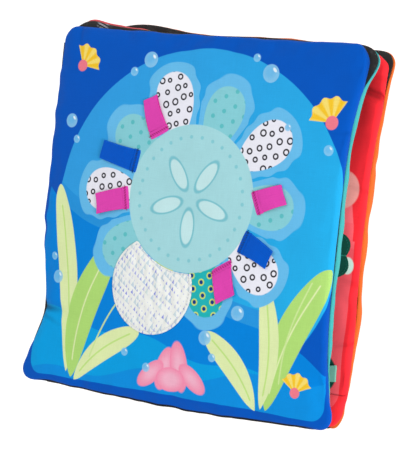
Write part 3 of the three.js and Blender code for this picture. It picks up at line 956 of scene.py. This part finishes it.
def strip_piece(body, material, inner_face, bottom, top):
    """A black strip along the spine, with a soft wave, rounded ends and two topstitch grooves."""
    along = np.linspace(*STRIP_ENDS, 120)
    x, up = (v.ravel() for v in np.meshgrid(along, np.linspace(0, 1, 15), indexing="ij"))
    from_end = np.minimum(x - along[0], along[-1] - x)
    round_off = 9 - np.sqrt(np.maximum(81 - np.maximum(9 - from_end, 0) ** 2, 0))
    z = bottom + round_off + up * (top - bottom - 2 * round_off)
    sag = np.sin(np.pi * up) * (0.35 * lumps(x, z, 60, 31) + 0.22 * lumps(x, z, 19, 32))
    groove = sum(0.25 * np.exp(-(((up - at) / 0.035) ** 2)) for at in (0.12, 0.88))
    outer = inner_face - STRIP_THICKNESS - sag * 0.6 + groove
    points = np.concatenate([columns(x, y, z) for y in (outer, np.full_like(x, inner_face))])
    flats = np.tile(columns(x, z), (2, 1))
    piece = closed_object(body + "_cloth", points, shell(len(along), 15), material, flats)
    subdivide(piece)
    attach(piece, body)
    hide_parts(body + "_strip")


def bend(centre, radius, u, v, start_angle, end_angle, tail):
    """Points of an arc in a plane of two axes, with straight tails."""
    u, v = np.array(u, float), np.array(v, float)
    angles = np.linspace(start_angle, end_angle, 13)
    arc = [np.asarray(centre) + radius * (u * math.cos(t) + v * math.sin(t)) for t in angles]
    lead, trail = (tail * (v * math.cos(t) - u * math.sin(t)) for t in (start_angle, end_angle))
    return [arc[0] - lead, *arc, arc[-1] + trail]


def fold_piece(name, material, path, across, length, thickness, pad=None):
    """A bend of base cloth: a curved path of points, swept along the fold."""
    path, across = np.array(path, float), np.array(across, float)
    tangent = np.gradient(path, axis=0)
    tangent /= np.linalg.norm(tangent, axis=1, keepdims=True)
    half = np.cross(tangent, across) * thickness / 2
    profile = np.concatenate([path + half, (path - half)[::-1]])
    steps = np.linspace(-length / 2, length / 2, 61)
    waver = 0.12 * np.sin(steps / 7.1) + 0.1 * np.sin(steps / 3.3 + 1)
    swell = (profile - profile.mean(axis=0)) * 0.25 * np.sin(np.linspace(0, math.pi, len(profile)))[:, None]
    points = np.concatenate([profile + swell * w + across * s for s, w in zip(steps, waver)])
    if pad:
        # the bend follows the slow pushes of the folded side
        slow = dict(pad, pushes=[p for p in pad["pushes"] if p[1] >= 80 and p[0][0] < 0 and p[2][1] == 0])
        points[:, 0] += drawn(slow, np.full(len(points), -HALF), points[:, 1] - SHIFT_Y)[0] + HALF
    piece = closed_object(name, points, tube(0, len(steps), len(profile)), material)
    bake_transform(piece)


# Sewn-on pieces

def face_at(pad, x, y):
    """Height of a stuffed face over points of its own frame."""
    x, y = np.broadcast_arrays(np.asarray(x, float), np.asarray(y, float))
    above, down = pad["level"] + pad["up"] * 60, (0, 0, -pad["up"])
    cast = pad["surface"].ray_cast
    found = [cast((px + SHIFT_X, py + SHIFT_Y, above), down)[0][2] for px, py in zip(x.ravel(), y.ravel())]
    return pad["up"] * (np.array(found).reshape(x.shape) - pad["level"]) - SEWN_GAP / 2


def normal_at(pad, x, y, step=6.0):
    """The unit normal of a face in its own frame."""
    slopes = [
        float(face_at(pad, x + dx, y + dy) - face_at(pad, x - dx, y - dy)) / (2 * step)
        for dx, dy in ((step, 0), (0, step))
    ]
    normal = np.array([-slopes[0], -slopes[1], 1.0])
    return normal / np.linalg.norm(normal)


def threads(name, runs, radius, material, colour):
    """Stitches: each run is a pair of end points (own frame, millimetres) that arches over the cloth."""
    points, faces, shares = [], [], (0.0, 0.18, 0.5, 0.82, 1.0)
    for start, end in np.array(runs, float):
        along = end - start
        side = np.cross(along / np.linalg.norm(along), (0, 0, 1))
        side /= max(np.linalg.norm(side), 1e-6)
        high = np.cross(side, along / np.linalg.norm(along))
        faces += tube(len(points), len(shares), 6)
        for share in shares:
            thick = radius * (0.35 + 0.65 * math.sin(math.pi * min(max(share, 0.06), 0.94)) ** 0.5)
            centre = start + along * share + high * radius * 0.9 * math.sin(math.pi * share)
            for k in range(6):
                turn = math.pi * k / 3
                points.append(centre + thick * (side * math.cos(turn) + high * math.sin(turn)))
    piece = closed_object(name, place(PADS[colour], *np.array(points).T), faces, material)
    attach(piece, colour + "_pad")


def tag_piece(
    name, colour, seam, degrees, shade, body, length, bow, puff, twist, taper, tab, skew=0.0, width=22.0
):
    """A ribbon loop: two plies from the stitched end to a soft bend, bowed sideways and lifted."""
    pad, angle = PADS[colour], math.radians(degrees)
    normal = normal_at(pad, *seam)
    across = np.cross(normal, (math.cos(angle), math.sin(angle), 0.0))
    across /= np.linalg.norm(across)
    along = np.cross(across, normal)
    origin = np.array([*seam, float(face_at(pad, *seam))]) + normal * 0.25
    tip = 0.75
    straight = length - tip
    steps = np.linspace(0, 1, 16)
    low = [(s * straight, 0.42 + 0.25 * puff * math.sin(math.pi * s)) for s in steps]
    turn = [
        (straight + tip * 1.15 * math.cos(t), 0.42 + tip + puff * 0.1 + tip * math.sin(t))
        for t in np.linspace(-math.pi / 2, math.pi / 2, 9)[1:-1]
    ]
    high = [
        (s * straight, 1.28 + (2 * tip - 0.86) * s**0.8 + 0.7 * puff * math.sin(math.pi * s) ** 1.2)
        for s in steps[::-1]
    ]
    path = np.array(low + turn + high)
    tangent = np.gradient(path, axis=0)
    tangent /= np.maximum(np.linalg.norm(tangent, axis=1, keepdims=True), 1e-9)
    walked = np.concatenate([[0], np.cumsum(np.linalg.norm(np.diff(path, axis=0), axis=1))])
    points, flats = [], []
    for side in (1, -1):
        for (s, h), (ts, th), w in zip(path, tangent, walked):
            share = s / length
            for v in np.linspace(-1, 1, 11):
                thick = side * RIBBON_PLY * 0.46 * (1 - 0.25 * abs(v) ** 6)
                ps = s + th * thick + 0.5 * math.sin(v * 2.1 + degrees) + skew * v
                ph = h - ts * thick + twist * v * share**1.5 + 0.35 * abs(v) ** 3 * share
                wide = width / 2 * (1 - 0.03 * math.sin(math.pi * share) - taper * share**1.3) * v
                points.append(origin + along * ps + across * (wide + bow * share**2) + normal * max(ph, 0.02))
                flats.append((w, v * width / 2))
    piece = closed_object(
        name + "_ribbon", place(pad, *np.array(points).T), shell(len(path), 11), ribbons[shade], flats
    )
    subdivide(piece)
    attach(piece, body)
    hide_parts(name)
    sewn_tab(name, colour, origin, along, across, shade, tab, skew, width)


def sewn_tab(name, colour, origin, along, across, shade, tab, skew, width):
    """The ribbon's doubled end, sewn flat on the pad behind the loop with slanted stitches."""
    pad = PADS[colour]
    steps = np.concatenate([[-TAB_LENGTH, -TAB_LENGTH * 0.75 - tab * 0.25], np.linspace(-tab, 0.6, 9)])

    def over_face(s, across_by, rise):
        """A point that far along and across, above the face by that much."""
        x, y, _ = origin + along * s + across * across_by
        return [x, y, float(face_at(pad, x, y)) + rise]

    stitch = tab * 0.58
    rise = 1.1 * np.clip((steps + tab) / 0.9, 0, 1) ** 0.5 - 0.35 * np.exp(-((steps + stitch) ** 2))
    rise[:2] = -1.3
    top, low, flats = [], [], []
    for s, h in zip(steps, rise):
        for v in np.linspace(-1, 1, 13):
            # the sewing spreads and gathers the ribbon's end
            spread = width / 2 * (1.05 + 0.03 * math.sin(2.3 * s + width)) * v + 0.25 * math.sin(3.1 * s)
            fall = 0.3 * abs(v) ** 8 - 0.12 * math.sin(17 * v + s)
            top.append(over_face(s + skew * v, spread, 0.3 + h - fall))
            low.append(over_face(s + skew * v, spread * 0.99, min(-0.1, h - 0.4)))
            flats.append((s, v * width / 2))
    piece = closed_object(
        name + "_sewn_end", place(pad, *np.array(top + low).T), shell(len(steps), 13), ribbons[shade], flats * 2
    )
    subdivide(piece)
    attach(piece, colour + "_pad")
    stitches, count, end = [], 9, width / 2
    for k in range(count):
        v = -1 + 2 * (k + 0.5) / count
        s, at = skew * v - stitch, v * end * 1.02
        stitches.append((over_face(s - 1.3, at - 0.9, 1.2), over_face(s + 1.3, at + 0.9, 1.25)))
    first, last = -stitch - skew, skew - stitch
    stitches.append((over_face(first, -end - 1.6, 0.8), over_face(first + 0.3, 1.6 - end, 1.25)))
    stitches.append((over_face(last, end - 1.4, 1.25), over_face(last - 0.7, end + 1.8, 0.7)))
    threads(name + "_stitches", stitches, 0.4, thread_materials[shade], colour)


def patch_distance(angle):
    """How far the pearly patch reaches at an angle: a disc, cut out round the medallion."""
    away = np.array(PATCH_CENTRE) - np.array(MEDALLION)
    towards = -(away[0] * math.cos(angle) + away[1] * math.sin(angle))
    beside = towards**2 - away @ away + MEDALLION_CLEAR**2
    if towards > 0 and beside > 0:
        return min(PATCH_RADIUS, towards - math.sqrt(beside))
    return PATCH_RADIUS


def leaf_distance(angle):
    return 38 - 5 * (1 - abs(math.sin(4.5 * angle)))


def sewn_piece(
    name, colour, centre, distance, material, lift, crackle, seed, node, stitch_name, stitch_material
):
    """A patch with a soft edge that lies on the face, rises over what it covers, and is wrinkled."""
    pad, centre, count = PADS[colour], np.array(centre), 176
    angles = np.linspace(0, 2 * math.pi, count, endpoint=False)
    far = np.array([distance(t) for t in angles])
    spokes = columns(far * np.cos(angles), far * np.sin(angles))

    def upper(share, rise):
        x, y = (centre + spokes * share).T
        ruck = crackle * (0.55 * np.abs(lumps(x, y, 21, seed)) + 0.3 * lumps(x, y, 9, seed + 1))
        ruck *= min(1, max(0, (0.97 - share) / 0.12))
        puff = lift * min(1, max(0, (0.9 - share) / 0.25))
        return columns(x, y, face_at(pad, x, y) + 0.28 + rise + puff + ruck)

    def under(share):
        x, y = (centre + spokes * share).T
        return columns(x, y, face_at(pad, x, y) + 0.3)

    edge = ((1.0, 0.05), (1.0, 0.4), (0.985, 0.62), (0.955, 0.6), (0.93, 0.42), (0.9, 0.6))
    rings = [*edge, *((share, 0.65) for share in np.linspace(0.86, 0.03, 24))]
    own = np.concatenate(
        [*(upper(*ring) for ring in rings), upper(0.0, 0.65)[:1], *map(under, (1.0, 0.6, 0.25)), under(0.0)[:1]]
    )
    peak = len(rings) * count
    over = np.arange(peak).reshape(-1, count)
    below = peak + 1 + np.arange(3 * count).reshape(3, count)
    faces = walls(over) + walls(below) + wall(over[0], below[0])
    for loop, tip in ((over[-1], peak), (below[-1], len(own) - 1)):
        faces += [(a, b, tip) for a, b in zip(loop, np.roll(loop, -1))]
    piece = closed_object(name, place(pad, *own.T), faces, material, own[:, :2])
    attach(piece, colour + "_pad")
    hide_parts(node)
    # topstitch inside the edge
    line = centre + spokes * 0.94
    lengths = np.linalg.norm(np.roll(line, -1, axis=0) - line, axis=1)
    walked = np.concatenate([[0], np.cumsum(lengths)])
    pitch, dash = 3.0, 2.1

    def on_line(at):
        i = min(int(np.searchsorted(walked, at, side="right")) - 1, count - 1)
        x, y = line[i] + (line[(i + 1) % count] - line[i]) * (at - walked[i]) / lengths[i]
        return [x, y, float(face_at(pad, x, y)) + 0.88]

    runs = [(on_line(k * pitch), on_line(k * pitch + dash)) for k in range(int(walked[-1] / pitch))]
    threads(stitch_name, runs, 0.3, stitch_material, colour)


# Build

black = black_cloth()
prints = {"blue": blue_print()} | {colour: plain_print(colour, **PRINTS[colour]) for colour in PRINTS}
for colour in PADS:
    pad_piece(colour, prints[colour])
    cloth_piece(colour, black)
strip_piece("inner_spine", black, INNER_FACE, *INNER_SPAN)
strip_piece("outer_spine", black, OUTER_FACE, *OUTER_SPAN)

# Bends of the base cloth over the back folds
X, Y, Z = (1, 0, 0), (0, 1, 0), (0, 0, 1)
for name, bodies, level, colour in (
    ("upper_back_bend", ("teal_pad", "blue_pad"), UPPER_FOLD, "blue"),
    ("lower_back_bend", ("orange_pad", "red_pad"), LOWER_FOLD, "red"),
):
    fold_x = -HALF - 0.15
    path = bend((fold_x, SHIFT_Y, level), 0.62, (-1, 0, 0), Z, -math.pi / 2, math.pi / 2, 4.3)
    fold_piece(name, black, path, Y, BACK_BEND_LENGTH, 0.8, PADS[colour])

# and over the folds of the spine
for name, bodies, base_level, strip_face, away, turn_radius, thick in (
    ("lower_spine_bend", ("red_pad", "inner_spine"), 16.3, INNER_FACE, 1, 1.2, 0.95),
    ("upper_spine_bend", ("teal_pad", "inner_spine"), 50.3, INNER_FACE, -1, 1.2, 0.95),
    ("outer_spine_bend", ("orange_pad", "outer_spine"), 15.0, OUTER_FACE, 1, 0.7, 0.8),
):
    centre = (0, strip_face - STRIP_THICKNESS / 2 + turn_radius, base_level + turn_radius * away)
    path = bend(centre, turn_radius, (0, 0, -away), (0, -1, 0), 0, math.pi / 2, 4.8)
    fold_piece(name, black, path, X, SPINE_BEND_LENGTH, thick)

# Medallion tags: seam angle and pointing angle round the medallion, then the loop's length,
# its bow to the side, puff, twist and taper, the length of its sewn end, and its skew
TAGS = [
    ("pink_top", 126, 119, "pink", 32, -3.0, 0.9, 0.3, 0.26, 6.0),
    ("blue_upper_left", 156.5, 170, "blue", 38, -1.0, 0.7, -0.3, 0.14, 6.0),
    ("pink_left", 185, 193, "pink", 32, 1.2, 0.8, 0.3, 0.05, 6.0),
    ("pink_right", 3.5, 23, "pink", 26, -1.4, 1.0, -0.4, 0.08, 7.0),
    ("blue_right", -27.5, -20, "blue", 28, -2.6, 1.0, 0.4, 0.14, 7.0),
    ("pink_lower", -55, -76, "pink", 27, 0.9, 0.8, 0.2, 0.02, 5.5, -3.6),
]
ribbons = {
    "pink": ribbon("pink_ribbon", "#E045B0", "#F23EB0"),
    "blue": ribbon("blue_ribbon", "#0056C6", "#0A66D6"),
    "green": ribbon("green_ribbon", "#86C7B3", "#A6DCC8"),
}
thread_materials = {
    "pink": thread("pink_thread", "#B8217A"),
    "blue": thread("blue_thread", "#0A4585"),
    "green": thread("green_thread", "#3F8F7B"),
}
for tag, seam_degrees, degrees, shade, *shape in TAGS:
    turn = math.radians(seam_degrees)
    seam = (MEDALLION[0] + TAG_SEAM_RADIUS * math.cos(turn), MEDALLION[1] + TAG_SEAM_RADIUS * math.sin(turn))
    tag_piece("tag_" + tag, "blue", seam, degrees, shade, tag + "_loop", *shape)
tag_piece("tag_green", "red", (136, -133), 6, "green", "green_loop", 29, 0.8, 0.6, 0.2, 0.0, 4.0, width=16.0)

sewn_piece(
    "pearly_patch", "blue", PATCH_CENTRE, patch_distance, pearly_cloth(), 0.5, 0.8, 51,
    "crinkle_patch", "patch_stitches", thread("white_thread", "#E4E8EE"),
)
sewn_piece(
    "leaf_patch", "red", LEAF_CENTRE, leaf_distance, leaf_cloth(), 0.4, 0.35, 61,
    "leaf_applique", "leaf_stitches", thread("leaf_thread", "#1F7A66"),
)

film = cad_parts["crinkle_film"]
film.data.materials.clear()
film.data.materials.append(crackling_film())

# Floor, light and camera

floor_finish = bpy.data.materials.new("floor")
floor_finish.use_nodes = True
for key, value in {
    "Base Color": (0.5, 0.5, 0.5, 1), "Roughness": 0.9,
    "Emission Color": (1, 1, 1, 1), "Emission Strength": 0.75,
}.items():
    floor_finish.node_tree.nodes["Principled BSDF"].inputs[key].default_value = value
corners = [(FLOOR_REACH * x, FLOOR_REACH * y, -FLOOR_DROP) for x, y in ((-1, -1), (1, -1), (1, 1), (-1, 1))]
mesh_object("floor", corners, [(0, 1, 2, 3)], floor_finish)

world = bpy.data.worlds.new("studio")
world.use_nodes = True
sky = world.node_tree
sky.nodes["Background"].inputs["Color"].default_value = (1, 1, 1, 1)
where = sky.nodes.new("ShaderNodeTexCoord")
height = sky.nodes.new("ShaderNodeSeparateXYZ")
fade = sky.nodes.new("ShaderNodeMapRange")
# white at the horizon, where it meets the floor, and dimmer overhead
for socket, value in (("From Min", 0.1), ("From Max", 0.45), ("To Min", 1.0), ("To Max", 0.68)):
    fade.inputs[socket].default_value = value
sky.links.new(where.outputs["Generated"], height.inputs[0])
sky.links.new(height.outputs["Z"], fade.inputs["Value"])
sky.links.new(fade.outputs[0], sky.nodes["Background"].inputs["Strength"])
bpy.context.scene.world = world

for name, lamp_at, size, energy in (("key", (-1.3, 1.2, 2.2), 2.4, 23), ("fill", (2.3, -0.3, 1.5), 1.4, 50)):
    data = bpy.data.lights.new(name, "AREA")
    data.shape = "DISK"
    data.size = size
    data.energy = energy
    lamp = bpy.data.objects.new(name, data)
    lamp.location = lamp_at
    lamp.rotation_euler = (-Vector(lamp_at)).to_track_quat("-Z", "Y").to_euler()
    bpy.context.scene.collection.objects.link(lamp)

camera_data = bpy.data.cameras.new("camera")
camera_data.sensor_fit = "AUTO"
camera_data.sensor_width = SENSOR
camera_data.lens = FOCAL_PIXELS / IMAGE_HEIGHT * SENSOR
camera = bpy.data.objects.new("camera", camera_data)
turned = Matrix((RIGHT, UPWARD, -FORWARD)).transposed().to_4x4()
camera_at = Vector(CAMERA_AT) - RIGHT * SHIFT_LEFT - UPWARD * SHIFT_DOWN
camera.matrix_world = Matrix.Translation(camera_at * MM) @ turned
bpy.context.scene.collection.objects.link(camera)
bpy.context.scene.camera = camera
bpy.context.scene.view_settings.view_transform = "Standard"
